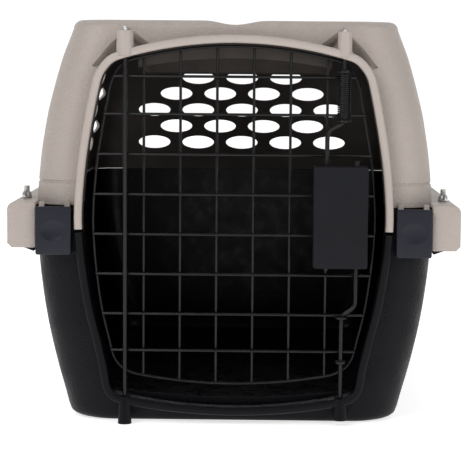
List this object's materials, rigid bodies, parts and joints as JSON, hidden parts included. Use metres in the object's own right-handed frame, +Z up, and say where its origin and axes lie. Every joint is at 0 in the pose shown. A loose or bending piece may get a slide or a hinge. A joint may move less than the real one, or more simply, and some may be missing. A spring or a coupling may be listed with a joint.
{
  "type": "pet transport carrier",
  "caption": "Two-shell plastic pet carrier with a wire door, a squeeze latch with two spring-loaded rods, side clips, bolted flanges and a folding roof handle.",
  "frame": {"origin": "on the floor under the middle of the carrier's bounding box", "axes": "+Z up, the door faces -Y, +X is the right-hand side seen from the door"},
  "size_m": [0.422, 0.61, 0.377],
  "materials": {
    "upper_plastic": "fine pebble texture",
    "lower_plastic": "fine pebble texture",
    "clip_plastic": "smooth satin",
    "latch_plastic": "fine grain",
    "coated_wire": "black powder coat",
    "zinc_steel": "zinc plated"
  },
  "bodies": {
    "shells": {"clip_pin_left": "zinc_steel", "clip_pin_right": "zinc_steel", "flange_bolt_1": "zinc_steel", "flange_bolt_2": "zinc_steel", "flange_bolt_3": "zinc_steel", "flange_bolt_4": "zinc_steel", "flange_bolt_5": "zinc_steel", "flange_bolt_6": "zinc_steel", "flange_bolt_7": "zinc_steel", "flange_bolt_8": "zinc_steel", "handle_bracket_front": "lower_plastic", "handle_bracket_rear": "lower_plastic", "lower_shell": "lower_plastic", "upper_shell": "upper_plastic", "wing_nut_1": "zinc_steel", "wing_nut_2": "zinc_steel", "wing_nut_3": "zinc_steel", "wing_nut_4": "zinc_steel", "wing_nut_5": "zinc_steel", "wing_nut_6": "zinc_steel", "wing_nut_7": "zinc_steel", "wing_nut_8": "zinc_steel"},
    "door": {"door_cross_wire_1": "coated_wire", "door_cross_wire_2": "coated_wire", "door_cross_wire_3": "coated_wire", "door_cross_wire_4": "coated_wire", "door_cross_wire_5": "coated_wire", "door_cross_wire_6": "coated_wire", "door_cross_wire_7": "coated_wire", "door_cross_wire_8": "coated_wire", "door_hinge_rod": "coated_wire", "door_perimeter_wire": "coated_wire", "door_upright_wire_1": "coated_wire", "door_upright_wire_2": "coated_wire", "door_upright_wire_3": "coated_wire", "door_upright_wire_4": "coated_wire", "door_upright_wire_5": "coated_wire", "door_upright_wire_6": "coated_wire", "latch_guide_loop_lower": "coated_wire", "latch_guide_loop_upper": "coated_wire"},
    "latch_upper": {"latch_collar_upper": "coated_wire", "latch_pad_front": "latch_plastic", "latch_rod_upper": "coated_wire", "latch_spring": "coated_wire"},
    "latch_lower": {"latch_collar_lower": "coated_wire", "latch_pad_back": "latch_plastic", "latch_rod_lower": "coated_wire"},
    "clip_left_body": {"clip_left": "clip_plastic"},
    "clip_right_body": {"clip_right": "clip_plastic"},
    "handle": {"carry_handle": "upper_plastic"}
  },
  "joints": [
    {"name": "door_hinge", "type": "hinge", "parent": "shells", "child": "door", "pos_m": [-0.101, -0.2855, 0], "axis": [0, 0, -1], "range_deg": [0, 150]},
    {"name": "latch_upper_slide", "type": "slide", "parent": "door", "child": "latch_upper", "axis": [0, 0, -1], "range_m": [0, 0.028], "stiffness_N_per_m": 120, "springref_m": -0.01, "deforming": ["latch_spring"]},
    {"name": "latch_lower_slide", "type": "slide", "parent": "door", "child": "latch_lower", "axis": [0, 0, 1], "range_m": [0, 0.028], "stiffness_N_per_m": 120, "springref_m": -0.01},
    {"name": "clip_left_hinge", "type": "hinge", "parent": "shells", "child": "clip_left_body", "pos_m": [-0.1675, -0.283, 0.2], "axis": [-1, 0, 0], "range_deg": [0, 75]},
    {"name": "clip_right_hinge", "type": "hinge", "parent": "shells", "child": "clip_right_body", "pos_m": [0.1675, -0.283, 0.2], "axis": [-1, 0, 0], "range_deg": [0, 75]},
    {"name": "handle_hinge", "type": "hinge", "parent": "shells", "child": "handle", "pos_m": [0, 0, 0.354], "axis": [0, -1, 0], "range_deg": [0, 180]}
  ],
  "couplings": [
    {"joint": "latch_lower_slide", "follows": "latch_upper_slide", "ratio": 1}
  ]
}
